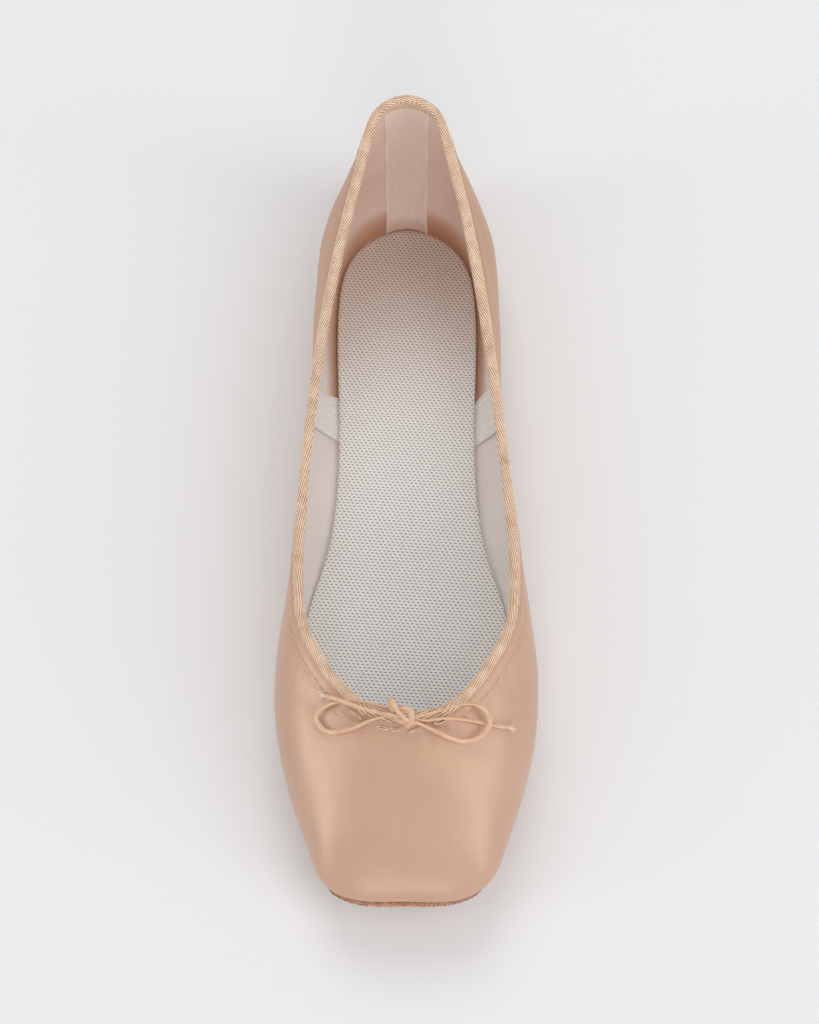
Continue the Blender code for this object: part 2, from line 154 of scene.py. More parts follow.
def blend(tree, share, first, second, way="MIX"):
    """Two colours in one: each is a hex colour or another node's."""
    first, second = (hex_colour(c) if isinstance(c, str) else c for c in (first, second))
    feeds = {0: share, 6: first, 7: second}
    return add(tree, "ShaderNodeMix", feeds, data_type="RGBA", blend_type=way).outputs[2]


def shades(tree, value, *stops):
    """A colour that follows the value: the stops are its lowest, its highest and any between."""
    made = add(tree, "ShaderNodeValToRGB", {"Fac": value})
    elements = made.color_ramp.elements
    for i, (place, colour) in enumerate(stops):
        stop = elements[i] if i < 2 else elements.new(place)
        stop.position = place
        stop.color = hex_colour(colour)
    return made.outputs[0]


def lay_on(shader, colour, relief=None, strength=0.0, depth=0.0):
    """Gives the shader its colour, and a relief of this strength and depth."""
    tree = shader.id_data
    tree.links.new(colour, shader.inputs["Base Color"])
    if relief is not None:
        feeds = {"Height": relief, "Strength": strength, "Distance": depth}
        tree.links.new(add(tree, "ShaderNodeBump", feeds).outputs[0], shader.inputs["Normal"])


painted_board = new_finish("painted_board", "#EFEFF0", 0.85)[0]
bm = bmesh.new()
bmesh.ops.create_grid(bm, x_segments=1, y_segments=1, size=12.0)
floor_mesh = bpy.data.meshes.new("floor")
bm.to_mesh(floor_mesh)
bm.free()
floor_mesh.materials.append(painted_board)
floor = bpy.data.objects.new("floor", floor_mesh)
bpy.context.scene.collection.objects.link(floor)


# Upper: peach satin over a pale cotton lining, pulled over the last inside out and turned.
# The box round the toes is stiff with paste; under the foot the satin is gathered into pleats,
# and a casing for the drawstring puffs up below the collar, down to its line of stitches.
LENGTH = 0.2415
BALL_WIDTH = 0.077
HEEL_HEIGHT = 0.062
TOE_SPRING = 0.006
SPRING_CURVE = 1.7
ARCH_RISE = 0.0015
BOX_WALL = 0.0024
QUARTER_WALL = 0.0013
SOLE_THICKNESS = 0.0022
SOLE_LAP = 0.007
GAP = 0.0003
SPRING_END = 0.25  # this and the next four are shares of the length, from the toe
ARCH_START = 0.385
ARCH_END = 0.745
BOX_END = 0.13
QUARTER_START = 0.27
MIDDLE = 0.00085  # of the shoe's length, behind the frame's origin
COLLAR_LEAN = 0.0013  # of the soft right side, inwards
CASING_TOP = 0.0019  # below the collar's edge, along the satin
CASING_FOOT = 0.0062
CASING_FOOT_AT_THROAT = 0.0043
CASING_PUFF = 0.0008
PLEAT_WIDTH = 0.0036
PLEAT_DEPTH = 0.0008

# along, half, widest, shoulder, fold, under, turn, tuck, and the collar's along, half, height,
# and the outsole's along and half: shares of the shoe's length, ball and heel, from the
# toe's centre round to the back seam
STATIONS = (
    (0.000, 0.000, 0.375, 0.510, 2.20, 3.60, 0.300, 0.62, 0.192, 0.000, 0.742, 0.085, 0.000),
    (0.001, 0.320, 0.375, 0.510, 2.20, 3.50, 0.300, 0.62, 0.195, 0.150, 0.740, 0.087, 0.190),
    (0.018, 0.570, 0.355, 0.510, 2.20, 3.10, 0.310, 0.56, 0.203, 0.300, 0.735, 0.097, 0.370),
    (0.060, 0.712, 0.310, 0.530, 2.15, 2.60, 0.290, 0.33, 0.229, 0.478, 0.728, 0.121, 0.510),
    (0.128, 0.862, 0.290, 0.580, 2.12, 2.30, 0.290, 0.12, 0.262, 0.620, 0.715, 0.172, 0.615),
    (0.250, 0.998, 0.290, 0.610, 2.08, 2.20, 0.300, 0.00, 0.323, 0.780, 0.695, 0.255, 0.655),
    (0.345, 0.955, 0.290, 0.570, 2.05, 2.15, 0.250, 0.00, 0.394, 0.813, 0.675, 0.355, 0.600),
    (0.508, 0.815, 0.300, 0.500, 2.00, 2.10, 0.270, 0.00, 0.520, 0.790, 0.662, 0.514, 0.420),
    (0.681, 0.765, 0.310, 0.520, 2.00, 2.05, 0.240, 0.00, 0.681, 0.688, 0.690, 0.683, 0.385),
    (0.831, 0.757, 0.320, 0.520, 2.00, 2.00, 0.230, 0.00, 0.831, 0.517, 0.770, 0.832, 0.470),
    (0.945, 0.580, 0.340, 0.500, 2.00, 2.00, 0.250, 0.00, 0.944, 0.330, 0.940, 0.923, 0.350),
    (0.987, 0.300, 0.345, 0.560, 2.00, 2.00, 0.240, 0.00, 0.983, 0.222, 0.985, 0.952, 0.190),
    (1.000, 0.000, 0.350, 0.660, 2.00, 2.00, 0.240, 0.00, 0.997, 0.000, 1.000, 0.962, 0.000),
)
RIBS = 400
BOTTOM_STEPS = 10
TURN_STEPS = 18
TOP_STEPS = 52


def along_y(share):
    """The place along the shoe of a share of its length."""
    return (share - 0.5) * LENGTH + MIDDLE


def sole_rise(y):
    """Height of the outsole's lower face, which is flat at the ball and the heel."""
    share = (y - along_y(0.0)) / LENGTH
    spring = np.clip(1 - share / SPRING_END, 0, 1) ** SPRING_CURVE
    return TOE_SPRING * spring + ARCH_RISE * hump(share, ARCH_START, ARCH_END, 2)


def underside(y):
    """Height of the satin's face under the foot."""
    return sole_rise(y) + SOLE_THICKNESS + GAP


def wall_at(y):
    """Thickness of the wall: the stiff box, then the soft quarter."""
    share = (y - along_y(0.0)) / LENGTH
    return BOX_WALL + (QUARTER_WALL - BOX_WALL) * ramp(share, BOX_END, QUARTER_START)


def run_along(points):
    """How far along a row each of its points is."""
    return np.concatenate([[0.0], np.cumsum(np.linalg.norm(np.diff(points, axis=0), axis=1))])


def run_round(points):
    """How far along a closed row each of its points is, and at last the whole way round."""
    return run_along(np.concatenate([points, points[:1]]))


def unit(vectors):
    """The same directions, each of length 1."""
    return vectors / np.linalg.norm(vectors, axis=-1, keepdims=True)


def at_run(wanted, run, points):
    """The points as they are where the run is as wanted."""
    return np.stack([np.interp(wanted, run, points[:, i]) for i in range(points.shape[1])], axis=-1)


def closed_spline(points, steps):
    """A smooth closed curve through the points, with so many steps after each of them."""
    count = len(points)
    after = np.roll(points, -1, axis=0)
    spans = np.linalg.norm(after[:, :2] - points[:, :2], axis=1)
    slopes = (after - points) / spans[:, None]
    system = np.zeros((count, count))
    for i in range(count):
        system[i, i - 1] += spans[i - 1]
        system[i, i] += 2 * (spans[i - 1] + spans[i])
        system[i, (i + 1) % count] += spans[i]
    bends = np.linalg.solve(system, 6 * (slopes - np.roll(slopes, 1, axis=0)))
    b = (np.arange(steps) / steps)[None, :, None]
    a = 1 - b
    bent = (a**3 - a) * bends[:, None] + (b**3 - b) * np.roll(bends, -1, axis=0)[:, None]
    curve = a * points[:, None] + b * after[:, None] + bent * (spans[:, None, None] ** 2 / 6)
    return curve.reshape(-1, points.shape[1])


def evenly_round(curve, count, guide=slice(0, 2)):
    """The closed curve at so many places, evenly spaced by the columns that guide names."""
    ring = np.vstack([curve, curve[:1]])
    run = run_along(ring[:, guide])
    return at_run(np.arange(count) * run[-1] / count, run, ring)


def inset(outline, distance):
    """The closed plan curve moved inwards, square to itself."""
    ahead = unit(np.roll(outline, -1, axis=0) - np.roll(outline, 1, axis=0))
    return outline + np.stack([-ahead[:, 1], ahead[:, 0]], axis=1) * distance


def both_sides(rows, mirrored):
    """One side's rows, followed by the other side's back to the start."""
    other = rows[-2:0:-1].copy()
    other[:, mirrored] *= -1
    return np.vstack([rows, other])


def even_steps(curve, steps):
    """The curve at a few steps that share out its length and its bend."""
    run = run_along(curve)
    place = 0.5 * run / run[-1] + 0.5 * np.linspace(0, 1, len(curve))
    return at_run(np.linspace(0, 1, steps + 1), place, curve)


def folded(start, corner, end, square):
    """A fold from start to end that leaves towards the corner and arrives from it."""
    angle = np.linspace(0, math.pi / 2, 160)[:, None]
    climb = np.sin(angle) ** (2.0 / square)
    reach = 1 - np.cos(angle) ** (2.0 / square)
    return start + (corner - start) * climb + (end - corner) * reach


def rib_curve(row, slot):
    """One rib of the satin, from the slot under the foot up to the collar."""
    x, y, widest, shoulder, fold, under, turn, tuck, top_y, top_x, top_z = row[:11]
    side = np.array([x, y, widest])
    inwards = unit(np.array([slot[0] - x, slot[1] - y, 0.0]))
    foot = side + inwards * turn
    foot[2] = underside(foot[1])
    below = side + inwards * turn * tuck
    below[2] = foot[2]
    edge = np.array([slot[0], slot[1], underside(slot[1])])
    above = np.array([x, y, shoulder])
    collar = np.array([top_x, top_y, top_z])
    bottom = even_steps(np.linspace(edge, foot, 12), BOTTOM_STEPS)
    bottom[:, 2] = underside(bottom[:, 1])
    lower = even_steps(folded(side, below, foot, under), TURN_STEPS)[::-1]
    upper = even_steps(folded(side, above, collar, fold), TOP_STEPS)
    return np.concatenate([bottom[:-1], lower[:-1], upper])


def face_out(sheet):
    """Unit normals of a sheet of ribs that closes round the shoe."""
    round_shoe = np.roll(sheet, -1, axis=0) - np.roll(sheet, 1, axis=0)
    return unit(np.cross(round_shoe, np.gradient(sheet, axis=1)))


def hump(value, low, high, power=1.0):
    """Rises from 0 at low to 1 halfway and back to 0 at high."""
    return np.sin(np.pi * np.clip((value - low) / (high - low), 0, 1)) ** power


def ramp(value, low, high):
    """Rises smoothly from 0 at low to 1 at high."""
    share = np.clip((value - low) / (high - low), 0, 1)
    return share * share * (3 - 2 * share)


def bell(value, width):
    """1 where the value is 0, and soon nothing beyond the width."""
    return np.exp(-((value / width) ** 2))


half_ball = BALL_WIDTH / 2
sizes = np.array(STATIONS)
sizes = np.column_stack(
    [
        sizes[:, 1] * half_ball,
        along_y(sizes[:, 0]),
        sizes[:, 2:4] * HEEL_HEIGHT,
        sizes[:, 4:6],
        sizes[:, 6] * half_ball,
        sizes[:, 7],
        along_y(sizes[:, 8]),
        sizes[:, 9] * half_ball,
        sizes[:, 10] * HEEL_HEIGHT,
        sizes[:, 12] * half_ball,
        along_y(sizes[:, 11]),
    ]
)
smooth_sizes = closed_spline(both_sides(sizes, [0, 9, 11]), 40)
rib_sizes = evenly_round(smooth_sizes, RIBS, guide=[0, 1, 8, 9])
# the soft quarter leans in a little on the right
rib_sizes[:, 9] -= COLLAR_LEAN * hump(rib_sizes[:, 8], -0.022, 0.088) * (rib_sizes[:, 9] > 0)
slot_edge = inset(rib_sizes[:, 11:13], SOLE_LAP)
last = np.array([rib_curve(row, slot) for row, slot in zip(rib_sizes, slot_edge)])
last_out = face_out(last)

# how far each point lies below the collar along its rib, and how far round the shoe each rib is
drop = np.linalg.norm(np.diff(last[:, ::-1], axis=1), axis=2)
below_collar = np.concatenate([np.zeros((RIBS, 1)), np.cumsum(drop, axis=1)], axis=1)[:, ::-1]
collar_run = run_round(last[:, -1])
round_collar, collar_length = collar_run[:-1], collar_run[-1]
round_sole = run_round(rib_sizes[:, 11:13])[:-1]
from_front = np.minimum(round_collar, collar_length - round_collar)
casing_foot = CASING_FOOT + (CASING_FOOT_AT_THROAT - CASING_FOOT) * bell(from_front, 0.017)

# the main creases, each from one place to another in plan, as wide and as deep as given:
# below the bow's right loop, out from the casing on each side, and where the quarters pull in
CREASES = (
    ((0.010, -0.0835), (0.024, -0.0800), 0.0028, 0.00018),
    ((-0.028, -0.0640), (-0.023, -0.0790), 0.0026, 0.00030),
    ((0.031, -0.0600), (0.030, -0.0850), 0.0030, 0.00034),
    ((-0.034, -0.0450), (-0.036, -0.0150), 0.0030, 0.00025),
    ((0.0345, 0.0050), (0.0330, 0.0350), 0.0032, 0.00025),
    ((-0.0290, 0.0700), (-0.0240, 0.0950), 0.0034, 0.00030),
    ((0.0290, 0.0680), (0.0230, 0.0960), 0.0034, 0.00030),
)


def crease_depth(x, y):
    """How deep the creases are at a place in plan: soft troughs with a low ridge beside them."""
    depth = np.zeros_like(x)
    for (x0, y0), (x1, y1), width, deep in CREASES:
        span = math.hypot(x1 - x0, y1 - y0)
        ahead = ((x - x0) * (x1 - x0) + (y - y0) * (y1 - y0)) / span
        beside = ((x - x0) * (y1 - y0) - (y - y0) * (x1 - x0)) / span
        beside = beside + 0.0015 * np.sin(np.pi * np.clip(ahead / span, 0, 1))
        trough = bell(beside, width) - 0.6 * bell(beside - 1.9 * width, width)
        fade = ramp(ahead, -0.3 * span, 0.3 * span) * ramp(-ahead, -1.3 * span, -0.7 * span)
        depth += deep * trough * fade
    return depth


def satin_relief():
    """How far the satin stands off the smooth last: casing, gathers, pleats and soft waves."""
    s = round_collar[:, None]
    foot = casing_foot[:, None]
    puff = CASING_PUFF * hump(below_collar, CASING_TOP - 0.001, foot, 0.7)
    at_throat = bell(from_front[:, None], 0.020)
    puff *= 1 + (0.10 + 0.35 * at_throat) * np.sin(s * 1700 + 2 * np.sin(s * 310)) * np.sin(s * 930)
    groove = -0.0003 * bell(below_collar - foot, 0.0005)
    pucker = np.sin(s * 1900 + 1.5 * np.sin(s * 430)) * 0.00009
    pucker = pucker * np.exp(-np.clip(below_collar - foot, 0, 1) / 0.0035)
    pucker = pucker * ramp(below_collar - foot, -0.001, 0)
    x, y, z = last[:, :, 0], last[:, :, 1], last[:, :, 2]
    waves = 0.00011 * np.sin(x * 210 + y * 90 + 3 * np.sin(y * 60)) * np.sin(y * 130 + z * 160)
    waves = waves * ramp(below_collar - foot, 0, 0.01)
    waves = waves - crease_depth(x, y) * ramp(below_collar - foot, 0, 0.006)
    back_seam = np.zeros((RIBS, 1))
    back_seam[RIBS // 2 - 1 : RIBS // 2 + 2, 0] = (0.00006, -0.00030, 0.00006)
    waves = waves + back_seam * ramp(below_collar, CASING_TOP, CASING_TOP + 0.002)
    to_edge = np.linalg.norm(last[:, :, :2] - rib_sizes[:, None, 11:13], axis=2)
    height = z - underside(y)
    gathered = ramp(0.010 - height, 0.0, 0.010) * ramp(0.020 - to_edge, -0.006, 0.018)
    toe_gather = 0.35 + 0.65 * ramp(-y, 0.03, 0.07)
    phase = round_sole[:, None] * 2 * np.pi / PLEAT_WIDTH + 1.3 * np.sin(round_sole[:, None] * 260)
    pleats = -PLEAT_DEPTH * (0.5 - 0.5 * np.sin(phase)) ** 0.6 * gathered * toe_gather
    return puff + groove + pucker + waves + pleats


satin_face = last + last_out * satin_relief()[:, :, None]
lining_face = last - last_out * wall_at(last[:, :, 1])[:, :, None]


def new_mesh():
    """An empty mesh with a UV map."""
    bm = bmesh.new()
    bm.loops.layers.uv.new("UVMap")
    return bm


def bent_sheet(points, places, round_columns=False, round_rows=True, cloths=None, bm=None):
    """A grid bent so that its corners lie at the points. Places are its UV map, in metres."""
    rows, columns = points.shape[:2]
    across = columns if round_columns else columns - 1
    along = rows if round_rows else rows - 1
    if bm is None:
        bm = new_mesh()
    layer = bm.loops.layers.uv["UVMap"]
    verts = bmesh.ops.create_grid(bm, x_segments=across, y_segments=along, size=1.0)["verts"]
    spots = {}
    for vert in verts:
        spots[vert] = (round((vert.co.y + 1) / 2 * along), round((vert.co.x + 1) / 2 * across))
    faces = list({face for vert in verts for face in vert.link_faces})
    for face in faces:
        for loop in face.loops:
            loop[layer].uv = places[spots[loop.vert]]
        if cloths is not None:
            face.material_index = int(cloths[min(spots[vert][1] for vert in face.verts)])
    for vert, (row, column) in spots.items():
        vert.co = points[row % rows, column % columns]
    bmesh.ops.recalc_face_normals(bm, faces=faces)
    return bm


def new_piece(name, bm, finishes):
    """The mesh as a piece of the shoe, its seams joined and shaded smooth, with its finishes."""
    bmesh.ops.remove_doubles(bm, verts=bm.verts, dist=1e-7)
    bmesh.ops.recalc_face_normals(bm, faces=bm.faces)
    mesh = bpy.data.meshes.new(name)
    bm.to_mesh(mesh)
    bm.free()
    mesh.shade_smooth()
    for finish in finishes:
        mesh.materials.append(finish)
    made = bpy.data.objects.new(name, mesh)
    bpy.context.scene.collection.objects.link(made)
    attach(made, "root")
    return made


# Satin, woven of fine bright threads: long soft streaks along the warp, a low gloss, and
# the faint mottle that handling leaves. A real thread is too fine to show, so it is 0.4 mm.
satin, tree, shader = new_finish("woven_satin", "#CFA68B", 0.36)
cloth, solid = uv_place(tree), solid_place(tree)
streaks = noise(tree, stretched(tree, cloth, (2200, 45, 1)), 1.0, 3.0)
mottle = noise(tree, solid, 45.0, 3.0)
tones = add(tree, "ShaderNodeMix", {0: 0.7, 2: streaks, 3: mottle}).outputs[0]
peach = shades(tree, tones, (0.34, "#C59D85"), (0.66, "#CAA38B"))
# Painted shade: towards the heel the satin's colour is multiplied darker and more saturated, as its
# shaded quarters look
quarters = rising(tree, axes(tree, solid)["Y"], -0.030, 0.100)
satin_with_painted_quarter_shade = blend(tree, quarters, peach, "#F2E1C8", "MULTIPLY")
threads = noise(tree, stretched(tree, cloth, (2500, 500, 1)), 1.0, 2.0)
lay_on(shader, satin_with_painted_quarter_shade, threads, 0.2, 0.0002)
for name, value in (
    ("Specular IOR Level", 0.75),
    ("Specular Tint", hex_colour("#FFE6D0")),
    ("Sheen Weight", 0.04),
    ("Sheen Roughness", 0.4),
    ("Sheen Tint", hex_colour("#FFE4D4")),
):
    shader.inputs[name].default_value = value

# Lining, a pale cotton drill at the sides and a tan satin round the heel. Low on the wall by the
# insole's edge, from the waist back, it is a darker brown: painted shade where the wall meets the
# insole.
lining, tree, shader = new_finish("cotton_lining", "#E6DAD4", 0.75)
solid = solid_place(tree)
place = axes(tree, solid)
soft = noise(tree, solid, 60.0, 4.0)
pale = blend(tree, soft, "#EDE2DC", "#FAF3EF")
tan = blend(tree, soft, "#E7CCBE", "#F0DBCF")
both = blend(tree, rising(tree, place["Y"], 0.050, 0.066), pale, tan)
# Painted shade: a darker brown low on the wall along the insole's edge, from the waist back
near_floor = rising(tree, place["Z"], 0.0085, 0.0045)
painted_insole_edge_shade = maths(tree, "MULTIPLY", rising(tree, place["Y"], 0.022, 0.046), near_floor)
lining_with_painted_edge_shade = blend(tree, painted_insole_edge_shade, both, "#CDA085")
lay_on(shader, lining_with_painted_edge_shade, noise(tree, solid, 2200.0, 2.0), 0.25, 0.0002)

ring = np.concatenate([satin_face, lining_face[:, ::-1]], axis=1)
rib_run = np.arange(RIBS + 1) / RIBS * collar_length
columns = ring.shape[1]
down_ring = np.hstack([below_collar, -below_collar[:, ::-1], below_collar[:, :1]])
down_ring = np.vstack([down_ring, down_ring[:1]])
places = np.stack(np.broadcast_arrays(rib_run[:, None], down_ring), axis=2)
cloths = (np.arange(columns) >= columns // 2).astype(int)
upper = new_piece(
    "satin_upper", bent_sheet(ring, places, round_columns=True, cloths=cloths), [satin, lining]
)
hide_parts("upper")


# Collar binding: a woven herringbone tape folded over the raw edge and rolled round a fine cord,
# then stitched through. Its diagonal ribs catch the light, and run towards the heel on each side.
TAPE_STAND = 0.0006  # of its face from the satin under it
TAPE_OUTSIDE = 0.0021
TAPE_INSIDE = 0.0030
ROLL_HEIGHT = 0.0013
TWILL_PITCH = 0.00078  # between its ribs, square to them
TWILL_LEAN = (math.radians(13), math.radians(30))  # of its ribs: at the throat, at the heel
TWILL_DEPTH = 0.00018
FLOAT_LENGTH = 0.00075


def down_from_collar(face, normals, distance, stand):
    """Points this far below the collar along each rib of a face, standing off from it."""
    found = []
    for rib, out, run, deep in zip(face, normals, below_collar, np.broadcast_to(distance, RIBS)):
        normal = unit(at_run(deep, run[::-1], out[::-1]))
        found.append(at_run(deep, run[::-1], rib[::-1]) + normal * stand)
    return np.array(found)


def on_last(distance, stand):
    """A row of points on the satin's form, this far below the collar."""
    return down_from_collar(last, last_out, distance, stand)


def on_lining(distance, stand):
    """A row of points on the lining, this far below the collar and out into the shoe."""
    return down_from_collar(lining_face, last_out, distance, -stand)


def between(before, here, after, beyond, t):
    """On a smooth curve through four points in a row: a share t of the way from here to after."""
    bend = t * t * (before - 2.5 * here + 2 * after - 0.5 * beyond)
    twist = t**3 * (1.5 * (here - after) + 0.5 * (beyond - before))
    return here + 0.5 * t * (after - before) + bend + twist


def denser(ring, times):
    """A closed row of ribs with more of them, on a smooth curve through the first ones."""
    before, after, beyond = (np.roll(ring, shift, axis=0) for shift in (1, -1, -2))
    parts = [between(before, ring, after, beyond, t) for t in np.arange(times) / times]
    return np.stack(parts, axis=1).reshape(-1, *ring.shape[1:])


def tape_lift(share):
    """How far the tape stands off, from nothing at its hem to its own thickness."""
    return 0.0001 + TAPE_STAND * np.clip((1 - share) * 7, 0, 1) ** 0.5


outer_depths = np.linspace(1, 0.05, 14)
inner_depths = np.array([0.05, 0.10, 0.16, 0.24, 0.36, 0.55, 0.80, 0.93, 1.0])
outside, inside = [], []
for depth in outer_depths:
    outside.append(on_last(TAPE_OUTSIDE * depth, tape_lift(depth) + 0.0001))
for depth in inner_depths:
    inside.append(on_lining(TAPE_INSIDE * depth, tape_lift(depth)))
up_rib = unit(last[:, -1] - last[:, -2])
crown = (last[:, -1] + lining_face[:, -1]) / 2
across = (last[:, -1] - lining_face[:, -1]) / 2 + last_out[:, -1] * TAPE_STAND
roll = []
for angle in np.radians(np.linspace(10, 170, 22)):
    rise = up_rib * ROLL_HEIGHT * math.sin(angle) ** 0.8
    roll.append(crown + across * math.cos(angle) * 1.06 + rise)
hidden = [
    on_lining(TAPE_INSIDE * 0.9, -0.0002),
    lining_face[:, -1],
    last[:, -1],
    on_last(TAPE_OUTSIDE * 0.9, -0.0002),
]
section = denser(np.stack(outside + roll + inside + hidden, axis=1), 4)
girth = run_along(section[0])
crown_girth = girth[len(outside) + len(roll) - 3]
tape_run = run_round(section[:, 20])
from_throat = np.minimum(tape_run, tape_run[-1] - tape_run)

# Herringbone: the ribs lean one way outside the roll and the other way inside it
steps = np.linspace(0, tape_run[-1] / 2, 600)
leans = TWILL_LEAN[0] + (TWILL_LEAN[1] - TWILL_LEAN[0]) * ramp(steps, 0.05, 0.20)
lean = np.interp(from_throat, steps, leans)[:, None]
advance = np.interp(from_throat, steps, np.cumsum(np.sin(leans)) * steps[1])[:, None]
rib_place = (np.abs(girth[None, :] - crown_girth) * np.cos(lean) + advance) / TWILL_PITCH
ridge = np.sqrt(0.5 + 0.5 * np.cos(rib_place[:-1] * 2 * math.pi)) - 0.6
ridge *= (np.arange(len(girth)) < len(outside + roll) + 6)[None, :]
section = section + face_out(section) * (ridge * TWILL_DEPTH)[:, :, None]
girth_places = np.append(girth, girth[-1] + 0.001)
rib_place = np.concatenate([rib_place, rib_place[:, :1]], axis=1)
from_crown = np.abs(girth_places[None, :] - crown_girth)
along_rib = from_throat[:, None] * np.cos(lean) - from_crown * np.sin(lean)
places = np.stack([rib_place * TWILL_PITCH, along_rib], axis=2)

# Tape of bright rayon: a painted cream highlight on top of its ribs and painted tan shade
# between them, with a float of thread every 0.75 mm along each rib, which is coarser than the
# real ones so that it shows.
herringbone, tree, shader = new_finish("herringbone_tape", "#D9AC86", 0.38)
spot = axes(tree, uv_place(tree))
turns = maths(tree, "MULTIPLY", spot["X"], 2 * math.pi / TWILL_PITCH)
floats = maths(tree, "MULTIPLY", spot["Y"], 2 * math.pi / FLOAT_LENGTH)
float_wave = maths(tree, "SINE", maths(tree, "MULTIPLY_ADD", turns, 0.5, floats))
threads = maths(tree, "MULTIPLY_ADD", float_wave, 0.42, maths(tree, "COSINE", turns))
rib_height = rising(tree, threads, -1.4, 1.4, way="LINEAR")
uneven = noise(tree, solid_place(tree), 260.0, 3.0)
# Painted highlight and shade: cream where the rib rises, tan where it sinks, with some random
# unevenness
rib_light_and_uneven_tone = maths(tree, "MULTIPLY_ADD", uneven, 0.7, rib_height)
rayon = shades(tree, rib_light_and_uneven_tone, (0.42, "#A5714D"), (1.0, "#FBE6CE"), (0.72, "#C6926B"))
lay_on(shader, rayon, rib_height, 0.5, 0.0002)
shader.inputs["Specular IOR Level"].default_value = 0.35
tape = bent_sheet(section, places, round_columns=True)
binding = new_piece("herringbone_binding", tape, [herringbone])
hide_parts("collar_binding")


# Casing stitches: a row of pale lockstitches along the casing's foot, each about 1.7 mm long,
# which sinks into the satin. In front they gather it round the drawstring's two slits.
STITCH_SPACING = 0.0026
STITCH_LENGTH = 0.0017
THREAD = 0.00034


def tube_rings(path, wide, thick, tilt=0.0, sides=8):
    """Rings along a path, oval and tilted, which close to a point at both ends."""
    path = np.array(path)
    ahead = unit(np.gradient(path, axis=0))
    side = unit(np.cross(ahead, (0, 0, 1)))
    up = np.cross(side, ahead)
    half = [np.broadcast_to(v, len(path))[:, None, None] / 2 for v in (wide, thick)]
    tilt = np.broadcast_to(tilt, len(path))[:, None, None]
    angle = (np.arange(sides) * 2 * math.pi / sides)[None, :, None]
    broad = side[:, None] * np.cos(tilt) + up[:, None] * np.sin(tilt)
    narrow = up[:, None] * np.cos(tilt) - side[:, None] * np.sin(tilt)
    rings = path[:, None] + broad * np.cos(angle) * half[0] + narrow * np.sin(angle) * half[1]
    caps = np.repeat(path[[0, -1], None], sides, axis=1)
    return np.concatenate([caps[:1], rings, caps[1:]])


def tube(path, wide, thick, tilt=0.0, sides=8, bm=None):
    """A closed oval tube along a path, whose UV map runs along it and round it, in metres."""
    rings = tube_rings(path, wide, thick, tilt, sides)
    run = run_along(rings[:, 0])
    girth = np.arange(sides + 1) / sides * math.pi * np.mean(wide)
    places = np.stack(np.broadcast_arrays(run[:, None], girth[None, :]), axis=2)
    return bent_sheet(rings, places, round_columns=True, round_rows=False, bm=bm)


def stitch(start, end, out, bm, thread=THREAD):
    """One stitch, which rises a little between its two holes."""
    path = []
    for share in np.linspace(0, 1, 6):
        rise = (math.sin(math.pi * share) ** 0.6) * thread * 0.55 - thread * 0.25
        path.append(start + (end - start) * share + out * rise)
    swell = 0.4 + 0.6 * np.sin(np.linspace(0.3, 2.84, 6))
    return tube(path, thread * swell, thread * 0.8, sides=6, bm=bm)


thread_cotton, tree, shader = new_finish("cotton_thread", "#E9C9AE", 0.6)
ply = noise(tree, solid_place(tree), 2500.0, 2.0)
lay_on(shader, shades(tree, ply, (0, "#CFA383"), (1, "#F6E0CC")))

seam = denser(down_from_collar(satin_face, last_out, casing_foot, 0.00012), 4)
seam_out = denser(last_out[:, -10], 4)
seam_run = run_round(seam)
seam_ring = np.vstack([seam, seam[:1]])
stitches = new_mesh()
for i in range(int(seam_run[-1] / STITCH_SPACING)):
    start = STITCH_SPACING * (i + 0.2)
    ends = at_run([start, start + STITCH_LENGTH], seam_run, seam_ring)
    stitch(*ends, seam_out[int(np.searchsorted(seam_run, start)) % len(seam)], stitches)
casing_stitches = new_piece("casing_stitches", stitches, [thread_cotton])


# Outsole: one piece of vegetable-tanned leather, skived to a thin edge and cemented over the
# pleats, with a channel cut round it for the stitches.
sole_outline = evenly_round(closed_spline(both_sides(sizes[:, 11:13], [0]), 40), 220)


def plate(outline, rings, lower_face):
    """A thin plate of rings: each is drawn in from the outline, shrunk, and above its lower face."""
    front, back = outline[:, 1].min(), outline[:, 1].max()
    nose = np.abs(outline[:, 0]).max()
    spine = np.clip(outline[:, 1], front + nose * 0.8, back - nose * 0.7)
    middle = np.column_stack([np.zeros(len(outline)), spine])
    layers = []
    for drawn_in, share, rise in rings:
        plan = middle + (inset(outline, drawn_in) - middle) * share
        layers.append(np.column_stack([plan, lower_face(plan[:, 1]) + rise]))
    return np.stack(layers, axis=1)


def plan_places(points):
    """The UV map of a plate: its own plan, in metres."""
    closed = np.concatenate([points, points[:1]], axis=0)
    return closed[:, :, :2]


sole_rings = [(0.0012, share, SOLE_THICKNESS) for share in (0.0, 0.5, 1.0)]
sole_rings += [(0.0004, 1, SOLE_THICKNESS - 0.0001), (0, 1, SOLE_THICKNESS - 0.0005)]
sole_rings += [(0.0001, 1, 0.0009), (0.0004, 1, 0.0003), (0.0011, 1, 0.00004)]
sole_rings += [(0.0030, 1, 0), (0.0033, 1, 0.0003), (0.0037, 1, 0.0003), (0.0040, 1, 0)]
sole_rings += [(0.0040, share, 0) for share in (0.75, 0.45, 0.0)]
sole_points = plate(sole_outline, sole_rings, sole_rise)

tanned, tree, shader = new_finish("tanned_leather", "#C79A72", 0.62)
solid = solid_place(tree)
hide = shades(tree, noise(tree, solid, 28.0, 5.0), (0.35, "#B98A62"), (0.68, "#D2A881"))
lay_on(shader, hide, noise(tree, solid, 900.0, 5.0), 0.35, 0.0003)
outsole = new_piece("leather_outsole", bent_sheet(sole_points, plan_places(sole_points)), [tanned])
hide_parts("outsole")


